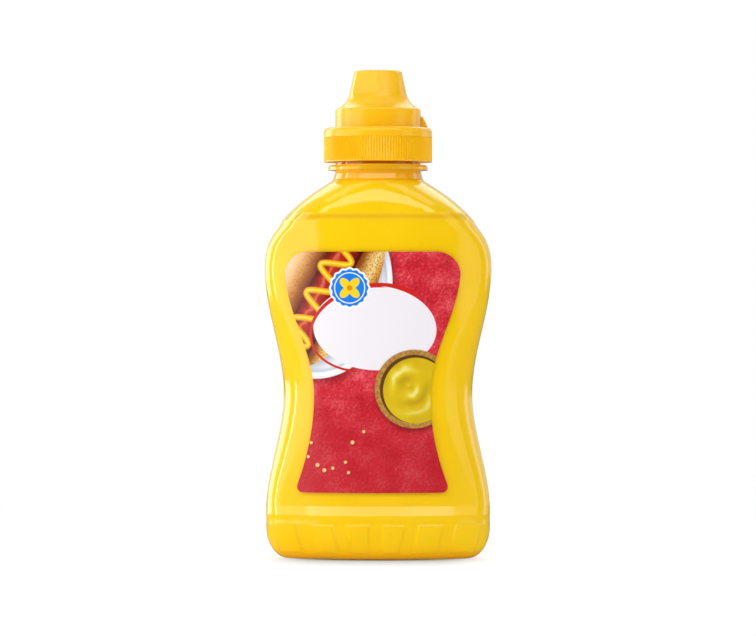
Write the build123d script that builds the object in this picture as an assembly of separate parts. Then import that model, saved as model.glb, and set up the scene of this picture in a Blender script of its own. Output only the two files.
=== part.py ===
from build123d import *

import os
from math import asin, cos, pi, radians, sin, sqrt, tan

# A clear plastic squeeze bottle of mustard with a twist-open cap and a label on each broad face.
# Millimetres, +Z up, the front label faces -Y, and the origin is the middle of the base.

# Body, seen from the front
body_height = 122.8  # base to the root of the neck
body_width = 74.2  # across the upper belly
foot_belly_width = 73.2
foot_belly_height = 15.1
waist_width = 61.6
waist_height = 53.7
shoulder_height = 28.2  # upper belly up to the root of the neck
shoulder_power = 2.2  # how fully the shoulder keeps its width before it falls away
# Body, seen from the side and from above
body_depth = 38.0
panel_spread = radians(30.4)  # how far the broad faces curve to each side of the middle, at the belly
# Heel, wall and base
heel_inset = 7.0
heel_height = 10.4
wall = 0.8
floor_thickness = 1.2
# Sunken label panel between the foot ledge and the shoulder ledge
panel_recess = 1.0
foot_ledge_height = 14.4
foot_ledge_slope = 3.0
shoulder_ledge_drop = 10.3  # from the root of the neck down to the ledge
shoulder_ledge_slope = 2.5
# Raised grip pads round the foot
pads_per_side = 3  # on each half of each broad face
pad_top_drop = 2.3  # from the foot ledge down to the pads
pad_foot_height = 1.6
pad_width = 9.1
pad_groove = 2.9
pad_lean = 0.25  # sideways per unit of height
pad_height = 0.6
pad_bevel = 1.0
# Neck
neck_radius = 13.9
neck_root_flare = 0.8  # how much wider the neck is at its root
neck_rise = 3.7  # root of the neck to the underside of the bead
neck_wall = 1.4
root_round = 0.7
bead_reach = 2.4  # how far the bead stands out from the neck
bead_thickness = 1.7
bead_round = 0.7
# Mustard
fill_clearance = 0.2
headspace = 4.0
# Cap base, which screws onto the neck
cap_wall = 3.5
cap_height = 11.2
cap_gap = 1.0  # bead to the rim of the cap
cap_clearance = 0.3
deck_thickness = 1.5
deck_round = 1.6
rib_count = 120
rib_depth = 0.35
rib_sink = 0.03  # rib crests below the smooth band
rim_band = 0.4
smooth_band = 3.2
# Stop lug on the deck of the cap base
lug_turn = 14.0  # degrees from the right side towards the back
lug_gap = 0.3
lug_foot = 2.3
lug_top = 0.5
lug_height = 3.8
lug_thickness = 2.4
# Twist tip on the deck
tip_setback = 3.75  # from the side of the cap base in to the drum
tip_drum_height = 5.97
tip_height = 18.6
tip_top_radius = 7.72
tip_waist_radius = 10.0  # where the lines of the drum's slope and of the spout meet
tip_waist_height = 7.95
tip_drum_round = 0.8
tip_flare_radius = 7.1
tip_top_round = 0.9
tip_turn = -30.0  # degrees that the tip's flats stand turned from the front
flat_top_reach = 6.85  # axis to the flat, at the top
flat_foot_reach = 8.1
flat_foot_height = 11.0
flat_foot_round = 2.5
# Labels
label_gap = 0.15
label_thickness = 0.2
label_foot_gap = 4.4  # from the top of the foot ledge
label_top_gap = 10.3  # from the bottom of the shoulder ledge
label_belly_width = 57.5
label_waist_width = 37.6
label_foot_width = 50.8
label_shift = -1.3  # the labels are stuck on a little to one side
label_top_round = 7.5
label_foot_round = 3.0

# Radii that follow
neck_root_radius = neck_radius + neck_root_flare
shoulder_top = neck_root_radius + root_round  # where the shoulder meets the neck's root
bead_radius = neck_radius + bead_reach
cap_radius = neck_radius + cap_clearance + cap_wall
tip_radius = cap_radius - tip_setback
# Heights that follow
belly_height = body_height - shoulder_height
panel_foot = foot_ledge_height + foot_ledge_slope
shoulder_ledge = body_height - shoulder_ledge_drop
panel_top = shoulder_ledge - shoulder_ledge_slope
pad_top = foot_ledge_height - pad_top_drop
bead_foot = body_height + neck_rise
bead_top = bead_foot + bead_thickness
cap_rim = bead_top + cap_gap
deck_top = cap_rim + cap_height
neck_top = deck_top - deck_thickness
tip_top = deck_top + tip_height
label_foot = panel_foot + label_foot_gap
label_top = panel_top - label_top_gap


def ease(low, high, share):
    """From low to high with a level start and end."""
    return low + (high - low) * share * share * (3 - 2 * share)


def between(z, low, high):
    return (z - low) / (high - low)


def half_width(z):
    """Half the body's width at a height: two bellies, a waist, and a shoulder that falls as a power."""
    foot, waist, belly = foot_belly_width / 2, waist_width / 2, body_width / 2
    if z < foot_belly_height:
        return foot
    if z < waist_height:
        return ease(foot, waist, between(z, foot_belly_height, waist_height))
    if z < belly_height:
        return ease(waist, belly, between(z, waist_height, belly_height))
    return belly - (belly - shoulder_top) * between(z, belly_height, body_height) ** shoulder_power


def half_depth(z):
    """Half the body's depth: even up to the shoulder ledge, then falling as a square to the neck."""
    depth = body_depth / 2
    if z < shoulder_ledge:
        return depth
    return depth - (depth - shoulder_top) * between(z, shoulder_ledge, body_height) ** 2


def arcs_by_spread(width, depth, spread):
    """Radii of the broad and the end arcs of an oval whose broad arcs reach spread to each side."""
    slope = tan(spread / 2)
    end = (depth - width * slope) / (1 - slope)
    return depth + (width - end) / tan(spread), end


def spread_by_panel(width, depth, panel):
    """Spread of the broad arcs of an oval whose broad arcs have a given radius."""
    end = (2 * panel * depth - depth**2 - width**2) / (2 * (panel - width))
    return asin((width - end) / (panel - end))


panel_radius = arcs_by_spread(body_width / 2, body_depth / 2, panel_spread)[0]


def oval(z, width, depth, spread, inset=0.0):
    """Level face of four tangent arcs: two broad arcs front and back, and an arc round each end."""
    broad, end = arcs_by_spread(width, depth, spread)
    width, depth, broad, end = width - inset, depth - inset, broad - inset, end - inset
    x = broad * sin(spread)
    y = broad * cos(spread) - broad + depth
    corners = [(-x, -y), (x, -y), (x, y), (-x, y)]
    tops = [(0, -depth), (width, 0), (0, depth), (-width, 0)]
    ends = corners[1:] + corners[:1]
    arcs = [ThreePointArc(a, b, c) for a, b, c in zip(corners, tops, ends)]
    return Pos(0, 0, z) * make_face(Wire([arc.edge() for arc in arcs]))


def body_section(z, inset=0.0, recess=0.0):
    width, depth = half_width(z), half_depth(z) - recess
    return oval(z, width, depth, spread_by_panel(width, depth, panel_radius - recess), inset)


def shoulder_section(z, inset=0.0):
    spread = spread_by_panel(half_width(shoulder_ledge), body_depth / 2, panel_radius)
    return oval(z, half_width(z), half_depth(z), spread, inset)


def steps(low, high, count):
    return [low + (high - low) * i / count for i in range(count + 1)]


def foot_solid(inset=0.0, floor=0.0):
    """The heel, rounded as a quarter ellipse, and the band above it up to the foot ledge."""
    faces = []
    for turn in steps(0, pi / 2, 7):
        z = floor + (heel_height - floor) * (1 - cos(turn))
        faces.append(body_section(z, inset + heel_inset * (1 - sin(turn))))
    faces.append(body_section(foot_ledge_height, inset))
    return loft(faces)


def body_solid(inset=0.0, floor=0.0):
    """The whole body below the neck, drawn in by an inset all round."""
    foot_ledge = [body_section(foot_ledge_height, inset), body_section(panel_foot, inset, panel_recess)]
    panel = [body_section(z, inset, panel_recess) for z in steps(panel_foot, panel_top, 14)]
    top_ledge = [body_section(panel_top, inset, panel_recess), shoulder_section(shoulder_ledge, inset)]
    shoulder = [shoulder_section(z, inset) for z in steps(shoulder_ledge, body_height, 6)]
    solid = foot_solid(inset, floor)
    for piece in (loft(foot_ledge, ruled=True), loft(panel), loft(top_ledge, ruled=True), loft(shoulder)):
        solid += piece
    return solid


def neck_solid():
    """The neck with its transfer bead, turned round the axis."""
    with BuildPart() as neck:
        with BuildSketch(Plane.XZ):
            with BuildLine():
                root = Line((shoulder_top, body_height), (neck_root_radius, body_height + root_round))
                rise = Line(root @ 1, (neck_radius, bead_foot))
                bead = Polyline(
                    rise @ 1,
                    (bead_radius, bead_foot),
                    (bead_radius, bead_top - bead_round),
                    (bead_radius - bead_round, bead_top),
                    (neck_radius, bead_top),
                    (neck_radius, neck_top),
                    (0, neck_top),
                )
                Polyline(bead @ 1, (0, body_height), root @ 0)
            make_face()
        revolve(axis=Axis.Z)
    return neck.part


def neck_bore(clearance, top):
    """The way through the neck, which starts inside the shoulder."""
    root = neck_root_radius - neck_wall - clearance
    bore = neck_radius - neck_wall - clearance
    start = body_height - wall
    corners = [(0, start), (root, start), (root, body_height), (bore, bead_foot), (bore, top), (0, top)]
    return revolve(Plane.XZ * make_face(Polyline(*corners, close=True)), Axis.Z)


def pads(inset=0.0, floor=0.0):
    """Raised grip pads on both broad faces, each leaning towards the middle as it goes down, drawn in by an
    inset all round."""
    raised = foot_solid(inset - pad_height, floor)
    bevel = pad_bevel - (2 - sqrt(2)) * inset  # so that the inset is even across the bevel
    front = []
    for side in (-1, 1):
        for n in range(pads_per_side):
            inner = pad_groove / 2 + n * (pad_width + pad_groove)
            fall = pad_lean * (pad_top - pad_foot_height)
            inner_foot = inner - fall * (n > 0)
            outline = Polyline(
                (side * inner, pad_top),
                (side * (inner + pad_width), pad_top),
                (side * (inner + pad_width - fall), pad_foot_height),
                (side * inner_foot, pad_foot_height),
                close=True,
            )
            face = offset(make_face(outline), -inset) if inset else make_face(outline)
            front.append(bevelled(raised & extrude(Plane.XZ * face, body_depth), bevel))
    return front + [Rot(0, 0, 180) * pad for pad in front]


def bevelled(pad, bevel):
    """The pad with a bevel where its outer face meets its flat sides."""
    sides = pad.faces().filter_by(GeomType.PLANE).edges()
    outer = pad.faces().filter_by(GeomType.PLANE, reverse=True).edges()
    return chamfer([edge for edge in outer if any(edge.is_same(side) for side in sides)], bevel)


def bottle():
    shell = body_solid() + neck_solid()
    for pad in pads():
        shell += pad
    shell -= body_solid(wall, floor_thickness) + neck_bore(0, neck_top)
    for pocket in pads(wall, floor_thickness):
        shell -= pocket
    return shell


def mustard():
    inset, floor = wall + fill_clearance, floor_thickness + fill_clearance
    fill = body_solid(inset, floor) + neck_bore(fill_clearance, neck_top - headspace)
    for pad in pads(inset, floor):
        fill += pad
    return fill


def cap_base():
    """Ribbed screw cap that seats on the neck's top, with a stop lug on its deck."""
    with BuildPart() as cap:
        with BuildSketch(Plane.XZ):
            with BuildLine():
                Polyline(
                    (0, deck_top),
                    (cap_radius, deck_top),
                    (cap_radius, cap_rim),
                    (neck_radius + cap_clearance, cap_rim),
                    (neck_radius + cap_clearance, neck_top),
                    (0, neck_top),
                    close=True,
                )
            make_face()
        revolve(axis=Axis.Z)
        rim = cap.edges().filter_by(GeomType.CIRCLE).sort_by(lambda e: (e.center().Z, e.radius))[-1]
        fillet(rim, deck_round)
    crest = cap_radius - rib_sink
    points = []
    for n in range(2 * rib_count):
        turn = pi * n / rib_count
        reach = crest - rib_depth * (n % 2)
        points.append((reach * cos(turn), reach * sin(turn)))
    ring = Circle(cap_radius + 1) - make_face(Polyline(*points, close=True))
    grooves = Pos(0, 0, cap_rim + rim_band) * extrude(ring, cap_height - rim_band - smooth_band)
    return cap.part - grooves + lug()


def lug():
    near = tip_radius + lug_gap
    outline = Polyline(
        (near, deck_top - deck_thickness / 2),
        (near + lug_foot, deck_top - deck_thickness / 2),
        (near + lug_foot, deck_top),
        (near + lug_top, deck_top + lug_height),
        (near, deck_top + lug_height),
        close=True,
    )
    return Rot(0, 0, lug_turn) * extrude(Plane.XZ * make_face(outline), lug_thickness / 2, both=True)


def cap_tip():
    """Twist tip: a drum, a flare and a tapering spout with a flat on two opposite sides."""
    with BuildPart() as tip:
        with BuildSketch(Plane.XZ):
            with BuildLine():
                Polyline(
                    (0, deck_top),
                    (tip_radius, deck_top),
                    (tip_radius, deck_top + tip_drum_height),
                    (tip_waist_radius, deck_top + tip_waist_height),
                    (tip_top_radius, tip_top),
                    (0, tip_top),
                    close=True,
                )
            make_face()
        revolve(axis=Axis.Z)
        rings = tip.edges().filter_by(GeomType.CIRCLE).sort_by(lambda e: e.center().Z)
        fillet(rings[-1], tip_top_round)
        rings = tip.edges().filter_by(GeomType.CIRCLE).sort_by(lambda e: -abs(e.radius - tip_waist_radius))
        fillet(rings[-1], tip_flare_radius)
        rings = tip.edges().filter_by(GeomType.CIRCLE).filter_by(lambda e: abs(e.radius - tip_radius) < 0.01)
        fillet(rings.sort_by(Axis.Z)[-1], tip_drum_round)
    side = 2 * tip_radius
    foot = deck_top + flat_foot_height
    outline = Polyline(
        (side, foot - flat_foot_round),
        (flat_foot_reach + flat_foot_round, foot - flat_foot_round),
        (flat_foot_reach, foot),
        (flat_top_reach, tip_top),
        (flat_top_reach, tip_top + 1),
        (side, tip_top + 1),
        close=True,
    )
    cutter = Rot(0, 0, tip_turn) * extrude(Plane.YZ * make_face(outline), side, both=True)
    return tip.part - cutter - Rot(0, 0, 180) * cutter


def label_half_width(z):
    """Half the label's width: widening as a square below the waist, and easing out to the belly above."""
    foot, waist, belly = label_foot_width / 2, label_waist_width / 2, label_belly_width / 2
    if z < waist_height:
        return waist + (foot - waist) * between(z, waist_height, label_foot) ** 2
    return ease(waist, belly, min(1, between(z, waist_height, belly_height)))


def label():
    """Printed film on the front panel, cut to an outline that follows the body's waist."""
    levels = steps(label_foot, label_top, 10)
    outside = loft([body_section(z, -label_gap - label_thickness, panel_recess) for z in levels])
    inside = loft([body_section(z, -label_gap, panel_recess) for z in levels])
    right = Spline(*[(label_half_width(z), z) for z in levels])
    left = Spline(*[(-label_half_width(z), z) for z in levels])
    sides = (right, Line(right @ 1, left @ 1), left, Line(left @ 0, right @ 0))
    outline = make_face(Wire([side.edge() for side in sides]))
    outline = fillet(outline.vertices().sort_by(Axis.Y)[-2:], label_top_round)
    outline = fillet(outline.vertices().sort_by(Axis.Y)[:2], label_foot_round)
    return (outside - inside) & Pos(label_shift, 0, 0) * extrude(Plane.XZ * outline, body_depth)


front_label = label()
sub_parts = {
    "bottle": bottle(),
    "mustard": mustard(),
    "cap_base": cap_base(),
    "cap_tip": cap_tip(),
    "front_label": front_label,
    "back_label": Rot(0, 0, 180) * front_label,
}

os.makedirs("parts", exist_ok=True)
for name, shape in sub_parts.items():
    export_step(shape, f"parts/{name}.step")
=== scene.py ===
from math import cos, pi, radians, sin, sqrt

import bpy
import numpy as np
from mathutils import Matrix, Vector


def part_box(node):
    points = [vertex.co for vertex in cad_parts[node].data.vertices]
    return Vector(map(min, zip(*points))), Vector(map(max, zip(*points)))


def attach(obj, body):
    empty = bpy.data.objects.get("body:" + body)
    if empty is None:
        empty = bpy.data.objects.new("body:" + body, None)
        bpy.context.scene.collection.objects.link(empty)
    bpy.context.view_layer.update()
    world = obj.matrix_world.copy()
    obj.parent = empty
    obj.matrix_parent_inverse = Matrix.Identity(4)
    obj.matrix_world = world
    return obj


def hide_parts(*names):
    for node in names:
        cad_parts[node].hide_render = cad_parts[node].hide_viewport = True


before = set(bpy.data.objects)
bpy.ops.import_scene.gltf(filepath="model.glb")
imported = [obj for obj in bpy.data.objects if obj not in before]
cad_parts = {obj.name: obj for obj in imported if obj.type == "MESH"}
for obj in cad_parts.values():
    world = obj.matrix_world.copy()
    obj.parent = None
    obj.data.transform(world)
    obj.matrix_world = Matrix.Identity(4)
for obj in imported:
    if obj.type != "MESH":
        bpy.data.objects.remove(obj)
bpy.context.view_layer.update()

# A clear bottle of mustard with a moulded yellow cap and a printed film on each broad face.
# The pieces are worked out in millimetres and go into their meshes in metres, +Z up, front towards -Y.

MM = 0.001

# Body, as the frame's bottle has it
body_width = 74.2
body_depth = 38.0
body_height = 122.8
foot_belly_width = 73.2
foot_belly_height = 15.1
waist_width = 61.6
waist_height = 53.7
belly_height = 94.6
shoulder_power = 2.2
panel_spread = radians(30.4)
panel_recess = 1.0
foot_ledge = 14.4
panel_foot = 17.4
panel_top = 110.0
shoulder_ledge = 112.5
shoulder_top = 15.4
heel_inset = 7.0
heel_height = 10.4
# Raised grip pads round the foot
pads_per_side = 3
pad_top = 12.1
pad_foot = 1.6
pad_width = 9.1
pad_groove = 2.9
pad_lean = 0.25
pad_height = 0.6
pad_slope_start = 0.65
# Inside of the bottle, and how far the mustard reaches into its wall
wall = 0.8
floor_thickness = 1.2
neck_bore = 12.5
neck_root_bore = 13.3
bead_foot = 126.5
wall_reach = 0.2
# Printed films
film_thickness = 0.35
film_sink = 0.05
film_waist_width = 37.6
film_foot_width = 50.8
film_top_round = 7.5
film_foot_round = 3.0


def ease(low, high, share):
    """From low to high with a level start and end: low + (high - low)(3s^2 - 2s^3)."""
    share = np.clip(share, 0, 1)
    return low + (high - low) * share**2 * (3 - 2 * share)


def between(z, low, high):
    return (z - low) / (high - low)


# ---------------------------------------------------------------- meshes


def put_in_mesh(name, points, faces, sharp=40):
    """Makes a piece of points in millimetres. Edges that turn by more than sharp degrees stay crisp."""
    mesh = bpy.data.meshes.new(name)
    mesh.from_pydata((points * MM).tolist(), [], faces)
    mesh.shade_smooth()
    mesh.set_sharp_from_angle(angle=radians(sharp))
    piece = bpy.data.objects.new(name, mesh)
    bpy.context.scene.collection.objects.link(piece)
    return piece


def grid_faces(rows, columns, around):
    """Four-sided faces of a grid of rows by columns, whose columns close on themselves when around."""
    across = np.arange(columns if around else columns - 1)
    corner = (np.arange(rows - 1)[:, None] * columns + across).ravel()
    beside = (np.arange(rows - 1)[:, None] * columns + (across + 1) % columns).ravel()
    return np.stack([corner, beside, beside + columns, corner + columns], 1)


# ---------------------------------------------------------------- mustard


def half_width(z):
    """Foot belly, eased to the waist, eased to the upper belly, then a shoulder that falls as a power."""
    foot, waist, belly = foot_belly_width / 2, waist_width / 2, body_width / 2
    rising = ease(foot, waist, between(z, foot_belly_height, waist_height))
    rising = np.where(z < waist_height, rising, ease(waist, belly, between(z, waist_height, belly_height)))
    fall = (belly - shoulder_top) * np.clip(between(z, belly_height, body_height), 0, 1) ** shoulder_power
    return np.where(z < belly_height, rising, belly - fall)


def half_depth(z):
    """Even up to the shoulder ledge less the panel's recess, then falling as a square to the neck."""
    depth = body_depth / 2
    edges = [foot_ledge, panel_foot, panel_top, shoulder_ledge]
    recess = np.interp(z, edges, [0, panel_recess, panel_recess, 0])
    fall = (depth - shoulder_top) * np.clip(between(z, shoulder_ledge, body_height), 0, 1) ** 2
    return depth - recess - fall


def arcs_by_spread(width, depth, spread):
    """Radii of the broad and the end arcs of an oval whose broad arcs reach spread to each side."""
    slope = np.tan(spread / 2)
    end = (depth - width * slope) / (1 - slope)
    return depth + (width - end) / np.tan(spread), end


def spread_by_panel(width, depth, panel):
    """Spread of the broad arcs of an oval whose broad arcs have a given radius."""
    end = (2 * panel * depth - depth**2 - width**2) / (2 * (panel - width))
    return np.arcsin((width - end) / (panel - end))


panel_radius = arcs_by_spread(body_width / 2, body_depth / 2, panel_spread)[0]


def pad_relief(x, z):
    """How far the grip pads raise the surface: the distance in from the nearest of a pad's four sides,
    less where the slope starts, and no more than the pad's height."""
    lean_length = sqrt(1 + pad_lean**2)
    relief = 0 * x
    for n in range(pads_per_side):
        inner = pad_groove / 2 + n * (pad_width + pad_groove)
        fall = pad_lean * (pad_top - z)
        from_inner = (np.abs(x) - inner + fall * (n > 0)) / lean_length
        from_outer = (inner + pad_width - fall - np.abs(x)) / lean_length
        depth = np.minimum(np.minimum(from_inner, from_outer), np.minimum(pad_top - z, z - pad_foot))
        relief = relief + np.clip(depth - pad_slope_start, 0, pad_height)
    return relief


def ovals(z, width, depth, spread, inset, broad_steps, end_steps):
    """Rings of points at heights z, one row each. A ring is four tangent arcs, each found from the way
    it faces: point = middle of its arc + its radius times (cos, sin) of that direction, drawn in by the
    inset and raised by the pads' relief."""
    z, width, depth, spread, inset = (np.asarray(v)[:, None] for v in (z, width, depth, spread, inset))
    broad, end = arcs_by_spread(width, depth, spread)
    counts = [broad_steps, end_steps] * 2
    arc = np.repeat(np.arange(4), counts)[None, :]
    along = np.concatenate([np.arange(n) / n for n in counts])[None, :]
    is_broad = arc % 2 == 0
    facing = pi / 2 * (arc - 1) + (2 * along - 1) * np.where(is_broad, spread, pi / 2 - spread)
    radius = np.where(is_broad, broad, end) - inset
    middle_x = np.where(is_broad, 0, (2 - arc) * (width - end))
    middle_y = np.where(is_broad, (1 - arc) * (broad - depth), 0)
    radius = radius + pad_relief(middle_x + radius * np.cos(facing), z)
    x = middle_x + radius * np.cos(facing)
    y = middle_y + radius * np.sin(facing)
    return np.stack([x, y, z + 0 * x], 2)


def mustard_levels():
    """Height, half width, half depth, spread and inset of each ring of the mustard, from the floor up
    the neck. The heel is a quarter ellipse: height = floor + rise(1 - cos t), inset = wall + heel
    inset(1 - sin t)."""
    inset = wall - wall_reach
    floor = floor_thickness - wall_reach
    turn = np.linspace(0, pi / 2, 40)
    heel = floor + (heel_height - floor) * (1 - np.cos(turn))
    ledges = [foot_ledge, panel_foot, panel_top, shoulder_ledge, body_height]
    counts = [12, 4, 48, 4, 24]
    starts = [heel_height, *ledges[:-1]]
    rises = [np.linspace(a, b, n + 1)[1:] for a, b, n in zip(starts, ledges, counts)]
    z = np.concatenate([heel, *rises])
    insets = np.full(len(z), inset)
    insets[: len(turn)] += heel_inset * (1 - np.sin(turn))
    width, depth = half_width(z), half_depth(z)
    spread = spread_by_panel(width, depth, panel_radius - (body_depth / 2 - depth))
    at_ledge = spread_by_panel(half_width(shoulder_ledge), body_depth / 2, panel_radius)
    spread = np.where(z > shoulder_ledge, at_ledge, spread)
    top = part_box("mustard")[1].z / MM
    neck_z = np.array([body_height + wall_reach, bead_foot, top])
    neck = np.array([neck_root_bore, neck_bore, neck_bore]) + wall_reach
    return (
        np.append(z, neck_z),
        np.append(width, neck),
        np.append(depth, neck),
        np.append(spread, np.full(3, at_ledge)),
        np.append(insets, np.zeros(3)),
    )


def mustard_fill():
    """The mustard: rings over height and turn, closed by a level face at the floor and at the fill
    line."""
    rings = ovals(*mustard_levels(), broad_steps=180, end_steps=60)
    rows, around = rings.shape[:2]
    faces = grid_faces(rows, around, True).tolist()
    faces.append(list(range(around))[::-1])
    faces.append(list(range((rows - 1) * around, rows * around)))
    return put_in_mesh("mustard_fill", rings.reshape(-1, 3), faces)


# ---------------------------------------------------------------- printed films


def film_half_width(z, foot, top, belly):
    """Half the film's width: widening as a square below the waist, easing out to the belly above it,
    and drawn in at the corners by r - sqrt(r^2 - (r - h)^2), where h is the height left to the film's
    edge."""
    waist = film_waist_width / 2
    below = waist + (film_foot_width / 2 - waist) * between(z, waist_height, foot) ** 2
    above = ease(waist, belly, between(z, waist_height, belly_height))
    half = np.where(z < waist_height, below, above)
    for edge, corner in ((np.abs(top - z), film_top_round), (np.abs(z - foot), film_foot_round)):
        left = corner - np.clip(edge, 0, corner)
        half = half - (corner - np.sqrt(corner**2 - left**2))
    return half


def printed_film(name, node, turned):
    """Film on the cylinder of the label panel: x = share times half width(z), y from the panel's radius.
    An outer and an inner sheet of the same grid meet in a rim, and the inner one lies just in the wall.
    Its map "print" holds millimetres across from the film's middle and up from the base."""
    low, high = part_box(node)
    foot, top = low.z / MM, high.z / MM
    middle = (low.x + high.x) / 2 / MM * turned
    belly = (high.x - low.x) / 2 / MM
    corner = np.linspace(0, pi / 2, 12)
    heights = np.concatenate(
        [
            foot + film_foot_round * (1 - np.cos(corner)),
            np.linspace(foot + film_foot_round, top - film_top_round, 48)[1:-1],
            (top - film_top_round * (1 - np.cos(corner)))[::-1],
        ]
    )
    share = np.linspace(-1, 1, 61)
    across = share[None, :] * film_half_width(heights, foot, top, belly)[:, None]
    z = heights[:, None] + 0 * across
    x = across + middle
    radius = panel_radius - panel_recess
    axis_y = radius - (body_depth / 2 - panel_recess)
    sheets = []
    for stand in (film_thickness, -film_sink):
        y = axis_y - np.sqrt((radius + stand) ** 2 - x**2)
        sheets.append(np.stack([x * turned, y * turned, z], 2).reshape(-1, 3))
    rows, columns = across.shape
    count = rows * columns
    front = grid_faces(rows, columns, False)
    numbers = np.arange(count).reshape(rows, columns)
    loop = np.concatenate([numbers[0, :], numbers[1:, -1], numbers[-1, -2::-1], numbers[-2:0:-1, 0]])
    after = np.roll(loop, -1)
    rim = np.stack([loop, loop + count, after + count, after], 1)
    faces = np.concatenate([front, front[:, ::-1] + count, rim])
    film = put_in_mesh(name, np.concatenate(sheets), faces.tolist(), sharp=60)
    places = np.tile(np.stack([across, z], 2).reshape(-1, 2), (2, 1))
    corners = np.empty(len(film.data.loops), int)
    film.data.loops.foreach_get("vertex_index", corners)
    film.data.uv_layers.new(name="print").uv.foreach_set("vector", places[corners].ravel())
    return film


# ---------------------------------------------------------------- nodes


def linear(code):
    """An sRGB hex colour as the linear values that shaders take."""
    parts = np.array([int(code[i : i + 2], 16) for i in (1, 3, 5)]) / 255
    return (*np.where(parts <= 0.04045, parts / 12.92, ((parts + 0.055) / 1.055) ** 2.4).tolist(), 1.0)


def add(tree, kind, inputs=None, **settings):
    """Adds a node with its settings. Inputs are by number or name, and take a value, a socket or a
    node, which stands for its first output. A list of (place, hex) pairs under "ramp" fills a colour
    ramp."""
    node = tree.nodes.new("ShaderNode" + kind)
    ramp = settings.pop("ramp", None)
    for name, value in settings.items():
        setattr(node, name, value)
    if ramp:
        stops = node.color_ramp.elements
        while len(stops) < len(ramp):
            stops.new(1)
        for stop, (place, code) in zip(stops, ramp):
            stop.position = place
            stop.color = linear(code)
    for key, value in (inputs or {}).items():
        socket = node.inputs[key] if isinstance(key, int) else next(
            s for s in node.inputs if s.enabled and s.name == key
        )
        if isinstance(value, bpy.types.Node):
            value = next(s for s in value.outputs if s.enabled)
        if isinstance(value, bpy.types.NodeSocket):
            tree.links.new(value, socket)
        else:
            socket.default_value = value
    return node


def maths(tree, operation, *values):
    return add(tree, "Math", dict(enumerate(values)), operation=operation)


def remap(tree, value, low=0.0, high=1.0, to_low=0.0, to_high=1.0, smooth=False):
    """Takes low..high to to_low..to_high, held level beyond, in a straight line or eased at both ends."""
    reach = {"Value": value, "From Min": low, "From Max": high, "To Min": to_low, "To Max": to_high}
    return add(tree, "MapRange", reach, interpolation_type="SMOOTHSTEP" if smooth else "LINEAR")


def blend(tree, share, under, over):
    """Colour from under, where the share is 0, to over, where it is 1. Each is a hex colour, a socket
    or a node."""
    under, over = (linear(colour) if isinstance(colour, str) else colour for colour in (under, over))
    return add(tree, "Mix", {0: share, 6: under, 7: over}, data_type="RGBA")


def new_material(name):
    """An empty material, its node tree and its output node."""
    material = bpy.data.materials.new(name)
    material.use_nodes = True
    tree = material.node_tree
    tree.nodes.clear()
    return material, tree, add(tree, "OutputMaterial")


def piece_place(tree):
    """The piece's own coordinates in millimetres."""
    own = add(tree, "TexCoord").outputs["Object"]
    return add(tree, "Mapping", {"Vector": own, "Scale": (1 / MM,) * 3})


# ---------------------------------------------------------------- plastics and mustard


def blown_pet():
    """Clear PET, blown in a fine-blasted mould: clear against the wet mustard, with a soft gloss, and a
    slow waviness where the wall was drawn thin, which lets long reflections wander. It is faintly warm
    from the mustard behind it. Light on its way in or out passes straight through."""
    material, tree, output = new_material("clear PET, blown")
    place = piece_place(tree)
    waves = add(tree, "TexNoise", {"Vector": place, "Scale": 1 / 16, "Detail": 1.0})
    haze = add(tree, "TexNoise", {"Vector": place, "Scale": 1 / 5, "Detail": 2.0})
    gloss = remap(tree, haze, to_low=0.10, to_high=0.14)
    bump = add(tree, "Bump", {"Height": waves, "Strength": 0.12, "Distance": 0.0006})
    shader = add(
        tree,
        "BsdfPrincipled",
        {
            "Base Color": linear("#FFF6C8"),
            "Roughness": gloss.outputs[0],
            "IOR": 1.575,
            "Transmission Weight": 1.0,
            "Normal": bump,
        },
    )
    path = add(tree, "LightPath")
    passing = maths(tree, "MAXIMUM", path.outputs["Is Shadow Ray"], path.outputs["Is Diffuse Ray"])
    clear = add(tree, "BsdfTransparent")
    both = add(tree, "MixShader", {0: passing, 1: shader, 2: clear})
    tree.links.new(both.outputs[0], output.inputs["Surface"])
    return material


def yellow_mustard():
    """Smooth prepared mustard, milled fine and coloured with turmeric: an even lemon yellow with faint
    darker specks. It wets the wall, so that the shine is the plastic's and not its own."""
    material, tree, output = new_material("prepared mustard, milled")
    place = piece_place(tree)
    cloud = add(tree, "TexNoise", {"Vector": place, "Scale": 1 / 22, "Detail": 2.0})
    tone = add(tree, "ValToRGB", {0: cloud}, ramp=[(0.3, "#F5C90C"), (0.7, "#F8D016")])
    # Seed hulls are near 0.1 mm, too fine to show, so they are drawn 0.6 mm across and pale.
    speck = add(tree, "TexVoronoi", {"Vector": place, "Scale": 1 / 1.8})
    spot = remap(tree, speck, 0.22, 0.1, to_high=0.12)
    colour = blend(tree, spot, tone, "#D9A20A")
    # Painted shade: the mustard is painted deeper amber towards the base, in the neck and most under the
    # cap, where these lie in shade. Painted highlight: the bead stands out into the light and is painted
    # paler.
    height = add(tree, "SeparateXYZ", {0: place}).outputs["Z"]
    painted_shade_and_highlight_bands = [
        (4.5, 1.0, "#F2B808"),
        (121.0, 125.0, "#F4B20C"),
        (126.2, 126.6, "#FFD028"),
        (128.1, 128.5, "#C05E04"),
    ]
    for start, end, code in painted_shade_and_highlight_bands:
        share = remap(tree, height, start, end, smooth=True)
        colour = blend(tree, share, colour, code)
    # Painted shade: a thin darker amber line round the mustard at the shoulder ledge, where the wall bends.
    off_shaded_ledge = maths(tree, "SUBTRACT", height, (panel_top + shoulder_ledge) / 2)
    off_shaded_ledge = maths(tree, "ABSOLUTE", off_shaded_ledge)
    share = remap(tree, off_shaded_ledge, 1.2, 0.2, to_high=0.45)
    colour = blend(tree, share, colour, "#D99E06")
    shader = add(
        tree,
        "BsdfPrincipled",
        {"Base Color": colour, "Roughness": 0.6, "IOR": 1.4, "Specular IOR Level": 0.0},
    )
    tree.links.new(shader.outputs[0], output.inputs["Surface"])
    return material


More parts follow.
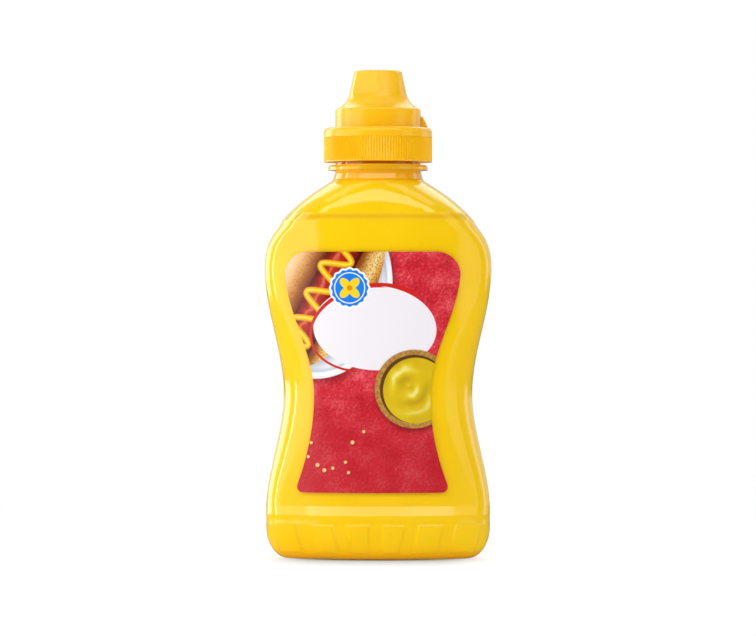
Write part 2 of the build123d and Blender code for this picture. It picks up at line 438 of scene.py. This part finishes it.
def moulded_polypropylene():
    """Injection-moulded polypropylene, masterbatch yellow: warm and saturated, a satin gloss with a
    fine grain from the mould, and a little light carried under the surface."""
    material, tree, output = new_material("polypropylene, moulded yellow")
    place = piece_place(tree)
    flow = add(tree, "TexNoise", {"Vector": place, "Scale": 1 / 9, "Detail": 2.0})
    tone = add(tree, "ValToRGB", {0: flow}, ramp=[(0.3, "#F9BC04"), (0.7, "#FCC20A")])
    # Mould grain is near 0.05 mm, and drawn 0.5 mm to show at all.
    grain = add(tree, "TexNoise", {"Vector": place, "Scale": 1 / 0.5, "Detail": 2.0})
    gloss = remap(tree, flow, to_low=0.2, to_high=0.3)
    bump = add(tree, "Bump", {"Height": grain, "Strength": 0.05, "Distance": 0.0001})
    shader = add(
        tree,
        "BsdfPrincipled",
        {
            "Base Color": tone,
            "Roughness": gloss.outputs[0],
            "IOR": 1.49,
            "Subsurface Weight": 0.15,
            "Subsurface Radius": (1.0, 0.55, 0.1),
            "Subsurface Scale": 0.0015,
            "Normal": bump,
        },
    )
    tree.links.new(shader.outputs[0], output.inputs["Surface"])
    return material


# ---------------------------------------------------------------- the print, in millimetres on the film


print_edge = 0.12  # how far a printed edge fades, in millimetres
print_scale = 1.013  # of the artwork on the film
print_shift = (0.0, -0.35, 0.0)


def ellipse(tree, place, centre, reach, tilt=0.0):
    """How far out a place is from an ellipse's centre, where its rim is 1: length of (place - centre),
    turned back by the tilt and divided by the reach each way."""
    local = add(
        tree,
        "Mapping",
        {"Vector": place, "Location": (*centre, 0), "Rotation": (0, 0, radians(tilt)), "Scale": (*reach, 1)},
        vector_type="TEXTURE",
    )
    return add(tree, "VectorMath", {0: local}, operation="LENGTH").outputs["Value"]


def within(tree, out, size, edge=print_edge, rim=1.0):
    """1 inside an ellipse of about this size in millimetres and 0 outside, over a soft edge."""
    soft = edge / size
    return remap(tree, out, rim + soft, rim - soft, smooth=True)


def red_field(tree, place):
    """Crimson felt: slow patches 9 mm across under a mottle of 0.9 mm, and pale fibres that lean to the
    right."""
    patches = add(tree, "TexNoise", {"Vector": place, "Scale": 1 / 9, "Detail": 3.0})
    mottle = add(tree, "TexNoise", {"Vector": place, "Scale": 1 / 0.9, "Detail": 3.0, "Roughness": 0.65})
    mixed = add(tree, "Mix", {0: 0.45, 2: patches, 3: mottle}, data_type="FLOAT")
    ramp = [(0.34, "#AE0E1C"), (0.45, "#C91F2E"), (0.53, "#D83541"), (0.64, "#E9606A")]
    ground = add(tree, "ValToRGB", {0: mixed}, ramp=ramp)
    leaning = add(
        tree,
        "Mapping",
        {"Vector": place, "Rotation": (0, 0, radians(-35)), "Scale": (0.6, 4.0, 1)},
        vector_type="TEXTURE",
    )
    fibre = add(tree, "TexNoise", {"Vector": leaning, "Scale": 1.0, "Detail": 2.0})
    pale = remap(tree, fibre, 0.58, 0.75, to_high=0.3)
    felt = blend(tree, pale, ground, "#F08A90")
    height = add(tree, "SeparateXYZ", {0: place}).outputs["Y"]
    low = remap(tree, height, 62.0, 38.0, to_high=0.6)
    return blend(tree, low, felt, "#BA1022")


def plate(tree, place, under):
    """White plate with a soft shadow below it, a grey rim line, and a cool shade towards the middle."""
    centre, reach = (-18.4, 90.4), (25.2, 31.3)
    shadow = within(tree, ellipse(tree, place, (-17.6, 89.2), reach), 28, edge=2.2)
    shade = maths(tree, "MULTIPLY", shadow, 0.75)
    ground = blend(tree, shade, under, "#6E0A14")
    out = ellipse(tree, place, centre, reach)
    glaze = [
        (0.0, "#D3D7E2"),
        (0.78, "#DDE0EA"),
        (0.88, "#EEF0F6"),
        (0.925, "#C3C8D6"),
        (0.945, "#F6F8FC"),
        (1.0, "#E4E7F0"),
    ]
    china = add(tree, "ValToRGB", {0: out}, ramp=glaze)
    return blend(tree, within(tree, out, 28), ground, china)


bun_middle = (-14.9, 90.0)
bun_tilt = -28.1
sausage_middle = 0.4  # across from the bun's middle
sausage_half = 5.3
wave_middle = -0.4
wave_start = 0.12  # turn of the wave at the bun's middle, in radians


def hot_dog(tree, place, under):
    """A sausage in a split bun, leaning to the left as it goes down. Its colours follow the distance
    across it, with a speckled crust beside the sausage, and a wave of mustard runs along it."""
    local = add(
        tree,
        "Mapping",
        {"Vector": place, "Location": (*bun_middle, 0), "Rotation": (0, 0, radians(bun_tilt))},
        vector_type="TEXTURE",
    )
    wander = add(tree, "TexNoise", {"Vector": place, "Scale": 1 / 4, "Detail": 3.0})
    parts = add(tree, "SeparateXYZ", {0: local})
    across, along = parts.outputs["X"], parts.outputs["Y"]
    sway = remap(tree, wander, to_low=-1.0, to_high=1.0)
    uneven = maths(tree, "ADD", across, sway)
    share = remap(tree, uneven, -17.0, 16.0)
    crumb = [
        (0.00, "#C8965A"),
        (0.08, "#F3CFA0"),
        (0.15, "#EBBB80"),
        (0.22, "#D6964A"),
        (0.29, "#A65C1C"),
        (0.35, "#722C0A"),
        (0.40, "#400E04"),
        (0.67, "#4C1404"),
        (0.73, "#9C5212"),
        (0.79, "#E6B660"),
        (0.85, "#F4D68C"),
        (0.91, "#DD9C38"),
        (0.98, "#9E5412"),
    ]
    bread = add(tree, "ValToRGB", {0: share}, ramp=crumb)
    # The crust's blisters are 0.3 mm, drawn 0.6 mm.
    blister = add(tree, "TexNoise", {"Vector": place, "Scale": 1 / 0.6, "Detail": 2.0})
    speck = remap(tree, blister, 0.48, 0.62, to_high=0.65)
    by_crust = remap(tree, across, -12.0, -8.0)
    crusty = maths(tree, "MULTIPLY", speck, by_crust)
    bread = blend(tree, crusty, bread, "#8E4410")
    # Shadow that the hot dog casts on the plate
    outline = {"reach": (15.9, 30.7), "tilt": bun_tilt}
    shadow = within(tree, ellipse(tree, place, (-15.0, 88.8), **outline), 20, edge=2.5)
    shade = maths(tree, "MULTIPLY", shadow, 0.6)
    ground = blend(tree, shade, under, "#7C8296")
    inside = within(tree, ellipse(tree, place, (-15.4, 90.3), **outline), 20)
    colour = blend(tree, inside, ground, bread)
    # Sausage
    glint = add(tree, "TexNoise", {"Vector": place, "Scale": 1 / 3.2, "Detail": 1.0})
    lean = remap(tree, glint, to_low=-1.8, to_high=1.8)
    shifted = maths(tree, "ADD", across, lean)
    share = remap(tree, shifted, -5.4, 6.2)
    skin = [
        (0.00, "#3A0400"),
        (0.14, "#7E1004"),
        (0.30, "#B82812"),
        (0.38, "#DA6A4C"),
        (0.45, "#B82812"),
        (0.62, "#9A180A"),
        (0.82, "#6A0C02"),
        (1.00, "#360400"),
    ]
    sausage = add(tree, "ValToRGB", {0: share}, ramp=skin)
    off_middle = maths(tree, "ADD", across, -sausage_middle)
    off_middle = maths(tree, "ABSOLUTE", off_middle)
    band = remap(tree, off_middle, sausage_half + 0.2, sausage_half - 0.2)
    band = maths(tree, "MULTIPLY", band, inside)
    colour = blend(tree, band, colour, sausage)
    return mustard_wave(tree, across, along, inside, colour)


def wave_at(tree, along, length, swing):
    """The wave's middle there, wave middle + swing cos(2 pi along / length + start), and its slope."""
    turn = maths(tree, "MULTIPLY_ADD", along, 2 * pi / length, wave_start)
    cosine = maths(tree, "COSINE", turn)
    middle = maths(tree, "MULTIPLY_ADD", cosine, swing, wave_middle)
    sine = maths(tree, "SINE", turn)
    slope = maths(tree, "MULTIPLY", sine, -swing * 2 * pi / length)
    return middle, slope


def mustard_wave(tree, across, along, inside, under):
    """A squeezed line of mustard along a wave. Its nearest point is found in three steps: from a point
    t on the wave, whose middle is m and slope s, each step moves t by ((along - t) + (across - m) s) /
    (1 + s^2). The distance is then sqrt((along - t)^2 + (across - m)^2), below the wave counted
    negative."""
    length, swing, half = 10.1, 4.4, 1.05
    nearest = along
    for _ in range(3):
        middle, slope = wave_at(tree, nearest, length, swing)
        aside = maths(tree, "SUBTRACT", across, middle)
        ahead = maths(tree, "SUBTRACT", along, nearest)
        move = maths(tree, "MULTIPLY_ADD", aside, slope, ahead)
        steep = maths(tree, "MULTIPLY_ADD", slope, slope, 1.0)
        move = maths(tree, "DIVIDE", move, steep)
        nearest = maths(tree, "ADD", nearest, move)
    middle, slope = wave_at(tree, nearest, length, swing)
    aside = maths(tree, "SUBTRACT", across, middle)
    ahead = maths(tree, "SUBTRACT", along, nearest)
    square = maths(tree, "MULTIPLY", aside, aside)
    square = maths(tree, "MULTIPLY_ADD", ahead, ahead, square)
    distance = maths(tree, "SQRT", square)
    side = maths(tree, "SIGN", aside)
    off = maths(tree, "MULTIPLY", distance, side)
    share = remap(tree, off, -half, half)
    line = [(0.0, "#D98A00"), (0.25, "#F7BC00"), (0.45, "#FFE04A"), (0.6, "#FBC60A"), (1.0, "#C87A00")]
    colour = add(tree, "ValToRGB", {0: share}, ramp=line)
    width = maths(tree, "ABSOLUTE", off)
    on_line = remap(tree, width, half + print_edge, half - print_edge)
    on_line = maths(tree, "MULTIPLY", on_line, inside)
    return blend(tree, on_line, under, colour)


def name_oval(tree, place, under):
    """A bare white oval, and under it a red ring of the same size turned the other way, thickest at the
    top right."""
    ring_centre, ring_reach, ring_tilt = (-0.2, 75.8), (20.6, 14.4), 11.2
    outer = within(tree, ellipse(tree, place, ring_centre, ring_reach, ring_tilt), 17)
    inner = within(tree, ellipse(tree, place, (-0.5, 75.45), (19.5, 13.2), ring_tilt), 17)
    hole = maths(tree, "SUBTRACT", 1.0, inner)
    stroke = maths(tree, "MULTIPLY", outer, hole)
    # The ring is open on the right and below: it stays where it is high and not far right, or far left.
    spot = add(tree, "SeparateXYZ", {0: place})
    high = remap(tree, spot.outputs["Y"], 75.0, 78.0)
    not_right = remap(tree, spot.outputs["X"], 16.5, 14.0)
    upper = maths(tree, "MULTIPLY", high, not_right)
    lower_left = remap(tree, spot.outputs["X"], -4.0, -7.5)
    kept = maths(tree, "MAXIMUM", upper, lower_left)
    stroke = maths(tree, "MULTIPLY", stroke, kept)
    ringed = blend(tree, stroke, under, "#CF2016")
    white = within(tree, ellipse(tree, place, (0.87, 75.73), (20.2, 13.8), -3.1), 17)
    # On the left the ring lies over the oval, and on the right the oval over the ring.
    over = remap(tree, spot.outputs["X"], 3.0, 5.0)
    oval = blend(tree, white, ringed, "#EEEAF0")
    left = maths(tree, "SUBTRACT", 1.0, over)
    on_top = maths(tree, "MULTIPLY", stroke, left)
    return blend(tree, on_top, oval, "#CF2016")


def flower_seal(tree, place, under):
    """A plain round seal with a scalloped edge and a four-petalled mustard flower: out + ripple times
    cos(scallops times the angle round it) gives the edge."""
    centre, radius, scallops = (-7.24, 88.8), 6.4, 16
    local = add(
        tree,
        "Mapping",
        {"Vector": place, "Location": (*centre, 0), "Scale": (radius, radius, 1)},
        vector_type="TEXTURE",
    )
    out = add(tree, "VectorMath", {0: local}, operation="LENGTH").outputs["Value"]
    parts = add(tree, "SeparateXYZ", {0: local})
    angle = maths(tree, "ARCTAN2", parts.outputs["Y"], parts.outputs["X"])
    scallop = maths(tree, "MULTIPLY", angle, float(scallops))
    ripple = maths(tree, "MULTIPLY_ADD", maths(tree, "COSINE", scallop), -0.03, out)
    colour = under
    for rim, code in ((1.04, "#F4F4F8"), (0.94, "#0A7FEA"), (0.80, "#F4F4F8"), (0.75, "#0A7FEA")):
        disc = within(tree, ripple if rim > 0.9 else out, radius, rim=rim)
        colour = blend(tree, disc, colour, code)
    # Four petals at 45 degrees, and the flower's eye
    for turn in range(4):
        heading = radians(45 + 90 * turn)
        spot = (centre[0] + 2.1 * cos(heading), centre[1] + 2.1 * sin(heading))
        petal = within(tree, ellipse(tree, place, spot, (2.1, 1.35), 45 + 90 * turn), 1.7)
        colour = blend(tree, petal, colour, "#FFD21A")
    eye = within(tree, ellipse(tree, place, centre, (0.9, 0.9)), 0.9)
    return blend(tree, eye, colour, "#E08A00")


def mustard_bowl(tree, place, under):
    """A wooden bowl of mustard seen from above and lit from the upper left. The fill lies in folds: its
    shade is sin(2 pi out / pitch) times cos(angle - heading of the light), as on the slopes of round
    ridges."""
    centre, outer, inner, pitch = (13.87, 55.75), 12.86, 11.2, 6.0
    shadow = within(tree, ellipse(tree, place, (14.2, 54.9), (13.2, 13.2)), 13, edge=1.2)
    shade = maths(tree, "MULTIPLY", shadow, 0.6)
    colour = blend(tree, shade, under, "#5E0810")
    grain = add(tree, "TexNoise", {"Vector": place, "Scale": 1 / 1.1, "Detail": 2.0})
    wood = add(tree, "ValToRGB", {0: grain}, ramp=[(0.3, "#9A6424"), (0.7, "#C99A4A")])
    out = ellipse(tree, place, centre, (outer, outer))
    colour = blend(tree, within(tree, out, outer), colour, wood)
    inside = within(tree, ellipse(tree, place, centre, (inner, inner)), inner)
    colour = blend(tree, inside, colour, "#5E3C12")
    # The fill sits low and to the right, so that the bowl's dark side shows at the upper left.
    fill_centre = (centre[0] + 0.45, centre[1] - 0.5)
    fill = within(tree, ellipse(tree, place, fill_centre, (inner - 0.6, inner - 0.45)), inner)
    local = add(tree, "Mapping", {"Vector": place, "Location": (12.2, 56.6, 0)}, vector_type="TEXTURE")
    wobble = add(tree, "TexNoise", {"Vector": place, "Scale": 1 / 5, "Detail": 1.0})
    parts = add(tree, "SeparateXYZ", {0: local})
    angle = maths(tree, "ARCTAN2", parts.outputs["Y"], parts.outputs["X"])
    reach = add(tree, "VectorMath", {0: local}, operation="LENGTH").outputs["Value"]
    bent = maths(tree, "MULTIPLY_ADD", wobble, 3.5, reach)
    turn = maths(tree, "MULTIPLY", bent, 2 * pi / pitch)
    slope = maths(tree, "SINE", turn)
    to_light = maths(tree, "ADD", angle, -radians(130))
    facing = maths(tree, "COSINE", to_light)
    lit = maths(tree, "MULTIPLY", slope, facing)
    share = remap(tree, lit, -1.0, 1.0)
    cream = [(0.0, "#C09E06"), (0.3, "#D2B006"), (0.55, "#DCBA08"), (0.8, "#E3C92A"), (0.97, "#F0E27C")]
    mustard = add(tree, "ValToRGB", {0: share}, ramp=cream)
    fade = remap(tree, reach, 6.0, 11.0, to_high=0.7)
    mustard = blend(tree, fade, mustard, "#D9B80C")
    return blend(tree, fill, colour, mustard)


mustard_seeds = [
    (-2.6, 41.8),
    (-6.3, 38.3),
    (-20.0, 38.1),
    (-21.0, 33.5),
    (-17.9, 30.8),
    (-8.6, 31.8),
    (-12.8, 29.8),
    (-15.6, 29.1),
    (-7.6, 28.4),
]


def scattered_seeds(tree, place, under):
    """Round mustard seeds about 1.2 mm across, each with a small shadow to its lower right."""
    colour = under
    for number, (u, v) in enumerate(mustard_seeds):
        radius = 0.52 + 0.13 * (number % 3 == 1)
        shadow = within(tree, ellipse(tree, place, (u + 0.2, v - 0.3), (radius, radius)), radius, edge=0.3)
        colour = blend(tree, shadow, colour, "#7A0A14")
        seed = within(tree, ellipse(tree, place, (u, v), (radius, radius)), radius)
        colour = blend(tree, seed, colour, "#F6C27A")
    return colour


def printed_polypropylene(name, shapes):
    """White polypropylene film, gravure printed and varnished: flat ink colours under an even, slightly
    soft gloss. The shapes are laid over each other in their order."""
    material, tree, output = new_material(name)
    own = add(tree, "UVMap", uv_map="print")
    sized = {"Vector": own, "Location": print_shift, "Scale": (print_scale, print_scale, 1)}
    place = add(tree, "Mapping", sized)
    colour = red_field(tree, place)
    for shape in shapes:
        colour = shape(tree, place, colour)
    ripple = add(tree, "TexNoise", {"Vector": place, "Scale": 1 / 12, "Detail": 1.0})
    gloss = remap(tree, ripple, to_low=0.2, to_high=0.28)
    bump = add(tree, "Bump", {"Height": ripple, "Strength": 0.08, "Distance": 0.0005})
    shader = add(
        tree,
        "BsdfPrincipled",
        {"Base Color": colour, "Roughness": gloss.outputs[0], "IOR": 1.49, "Normal": bump},
    )
    tree.links.new(shader.outputs[0], output.inputs["Surface"])
    return material


def bare_panel(tree, place, under):
    """A bare white panel with rounded corners on the back film: a box of half size b, rounded by r,
    holds a place where the length of max(|place - centre| - b, 0) is under r."""
    local = add(tree, "Mapping", {"Vector": place, "Location": (0, 62.0, 0)}, vector_type="TEXTURE")
    far = add(tree, "VectorMath", {0: local}, operation="ABSOLUTE")
    past = add(tree, "VectorMath", {0: far, 1: (13.5, 28.5, 0)}, operation="SUBTRACT")
    past = add(tree, "VectorMath", {0: past, 1: (0, 0, 0)}, operation="MAXIMUM")
    out = add(tree, "VectorMath", {0: past}, operation="LENGTH").outputs["Value"]
    inside = remap(tree, out, 2.6, 2.4)
    return blend(tree, inside, under, "#F3F0F7")


# ---------------------------------------------------------------- studio


lamp_aim = 80.0 * MM  # height that the lamps face
lamp_distance = 1.0  # metres


def softbox(name, azimuth, elevation, wide, tall, radiance):
    """A panel of even brightness that faces the bottle from a direction, azimuth 0 being the front.
    Angles are in degrees and sizes in metres, and its energy is radiance times 4 times its area."""
    turn, rise = radians(azimuth), radians(elevation)
    light = bpy.data.lights.new(name, "AREA")
    light.shape = "RECTANGLE"
    light.size = wide
    light.size_y = tall
    light.energy = radiance * 4 * wide * tall
    lamp = bpy.data.objects.new(name, light)
    lamp.location = (
        lamp_distance * sin(turn) * cos(rise),
        -lamp_distance * cos(turn) * cos(rise),
        lamp_aim + lamp_distance * sin(rise),
    )
    lamp.rotation_euler = (pi / 2 - rise, 0, turn)
    bpy.context.scene.collection.objects.link(lamp)


def studio_lamps():
    softbox("left_softbox", -65, 3, 0.95, 1.0, 1.16)
    softbox("right_softbox", 68, 3, 0.60, 1.0, 0.55)
    softbox("top_softbox", 0, 43, 1.9, 0.46, 1.85)
    softbox("overhead_softbox", 0, 84, 1.6, 0.5, 0.85)
    softbox("left_rim_strip", -92, 5, 0.10, 1.0, 5.0)
    softbox("left_back_strip", -126, 5, 0.5, 1.0, 2.2)
    softbox("right_back_strip", 118, 5, 0.25, 1.0, 0.9)
    softbox("back_softbox", 180, 45, 1.2, 0.6, 1.3)


def white_seen_directly(tree):
    """1 for what the camera sees, straight or through the clear plastic alone."""
    path = add(tree, "LightPath")
    fresh = maths(tree, "LESS_THAN", path.outputs["Diffuse Depth"], 0.5)
    through = maths(tree, "MULTIPLY", path.outputs["Is Transmission Ray"], fresh)
    return maths(tree, "MAXIMUM", path.outputs["Is Camera Ray"], through)


air_level = 0.25  # brightness of the world to matt surfaces, and to shining ones ahead and behind
gloss_in_front = 0.03
gloss_behind = 0.7


def studio_air():
    """An even world that is seen as white. In what shines, only the part behind the bottle shows, as a
    backdrop."""
    world = bpy.data.worlds.new("studio")
    bpy.context.scene.world = world
    world.use_nodes = True
    tree = world.node_tree
    tree.nodes.clear()
    glossy = add(tree, "LightPath").outputs["Is Glossy Ray"]
    direction = add(tree, "TexCoord").outputs["Generated"]
    behind = add(tree, "SeparateXYZ", {0: direction}).outputs["Y"]
    mirrored = remap(tree, behind, 0.0, 0.7, to_low=gloss_in_front, to_high=gloss_behind)
    level = add(tree, "Mix", {0: glossy, 2: air_level, 3: mirrored}, data_type="FLOAT")
    level = add(tree, "Mix", {0: white_seen_directly(tree), 2: level, 3: 1.0}, data_type="FLOAT")
    sky = add(tree, "Background", {"Color": linear("#FFFFFF"), "Strength": level})
    tree.links.new(sky.outputs[0], add(tree, "OutputWorld").inputs["Surface"])


floor_side = 6.0  # metres, as are the next four
white_from = (0.12, 0.4)  # where the table starts to run out into white, and where it is white
shadow_reach = 0.045
shadow_front = 0.015  # how far in front of the bottle's middle the shade is at its full
shadow_sides = (0.046, 0.018)  # from the middle to each side, where it ends and where it is full
shade_behind = 0.2  # share of the shade that is drawn behind the bottle's middle, and in front
shade_in_front = 1.1
given_to_matt = 0.9  # share of the light on it that the table gives to matt and to shining surfaces
given_to_gloss = 0.2
seen_matt = 0.33  # what the camera sees of the table, lit and of itself
seen_glow = 0.75
floor_glow = 0.18  # light of its own that the table gives to matt surfaces


def grey(level):
    return (level, level, level, 1.0)


def studio_floor():
    """A pale table that runs out into white. It keeps the bottle's shadow, deepest where the bottle
    stands and drawn mostly in front of it, and it gives some light of its own to matt surfaces."""
    half = floor_side / 2
    corners = np.array([(-half, -half, 0), (half, -half, 0), (half, half, 0), (-half, half, 0)]) / MM
    floor = put_in_mesh("studio_floor", corners, [(0, 1, 2, 3)])
    material, tree, output = new_material("studio table, matt lacquer")
    path = add(tree, "LightPath")
    seen = path.outputs["Is Camera Ray"]
    own = add(tree, "TexCoord").outputs["Object"]
    away = add(tree, "VectorMath", {0: own}, operation="LENGTH").outputs["Value"]
    far = remap(tree, away, *white_from, smooth=True)
    # Where the bottle keeps light from the table, most of all in front of it
    open_share = add(tree, "AmbientOcclusion", {"Distance": shadow_reach}, samples=8).outputs["AO"]
    spot = add(tree, "SeparateXYZ", {0: own})
    front = remap(tree, spot.outputs["Y"], 0.0, -shadow_front, to_low=shade_behind, to_high=shade_in_front)
    shade = maths(tree, "SUBTRACT", 1.0, open_share)
    shade = maths(tree, "MULTIPLY", shade, front)
    aside = maths(tree, "ABSOLUTE", spot.outputs["X"])
    under = remap(tree, aside, *shadow_sides, smooth=True)
    shade = maths(tree, "MULTIPLY", shade, under)
    open_share = maths(tree, "SUBTRACT", 1.0, shade)
    pale = blend(tree, open_share, grey(0.0), grey(seen_matt))
    # What the table gives back: much to matt mustard, little to the clear wall's gloss
    given = blend(tree, path.outputs["Is Glossy Ray"], grey(given_to_matt), grey(given_to_gloss))
    tone = blend(tree, seen, given, pale)
    matt = add(tree, "BsdfDiffuse", {"Color": tone})
    lift = maths(tree, "MULTIPLY", seen, open_share)
    lift = maths(tree, "MULTIPLY", lift, seen_glow)
    lift = maths(tree, "MULTIPLY_ADD", path.outputs["Is Diffuse Ray"], floor_glow, lift)
    glow = add(tree, "Emission", {"Strength": lift})
    near = add(tree, "AddShader", {0: matt, 1: glow})
    white = add(tree, "Emission", {"Strength": seen})
    reach = maths(tree, "MULTIPLY", far, seen)
    both = add(tree, "MixShader", {0: reach, 1: near, 2: white})
    tree.links.new(both.outputs[0], output.inputs["Surface"])
    floor.data.materials.append(material)


def studio_camera():
    """A level camera 1.4 m away and a little to the right, with a long lens."""
    azimuth, distance, height = radians(2.3), 1.4, 78.3 * MM
    data = bpy.data.cameras.new("camera")
    data.sensor_width = 36.0
    data.lens = 204.0
    camera = bpy.data.objects.new("camera", data)
    camera.location = (distance * sin(azimuth), -distance * cos(azimuth), height)
    camera.rotation_euler = (pi / 2, 0, azimuth)
    bpy.context.scene.collection.objects.link(camera)
    bpy.context.scene.camera = camera


# ---------------------------------------------------------------- put together


def dress(piece, material):
    piece.data.materials.clear()
    piece.data.materials.append(material)


pet = blown_pet()
polypropylene = moulded_polypropylene()
dress(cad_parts["bottle"], pet)
for node in ("cap_base", "cap_tip"):
    dress(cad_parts[node], polypropylene)

fill = mustard_fill()
dress(fill, yellow_mustard())
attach(fill, "root")
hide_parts("mustard")

front_shapes = [plate, hot_dog, name_oval, flower_seal, mustard_bowl, scattered_seeds]
films = (
    ("front_film", "front_label", "front_print", 1, front_shapes),
    ("back_film", "back_label", "back_print", -1, [bare_panel]),
)
for name, node, slot, turned, shapes in films:
    film = printed_film(name, node, turned)
    dress(film, printed_polypropylene("printed film, " + node.split("_")[0], shapes))
    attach(film, "root")
    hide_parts(node)

studio_lamps()
studio_air()
studio_floor()
studio_camera()

bpy.context.scene.view_settings.view_transform = "Standard"
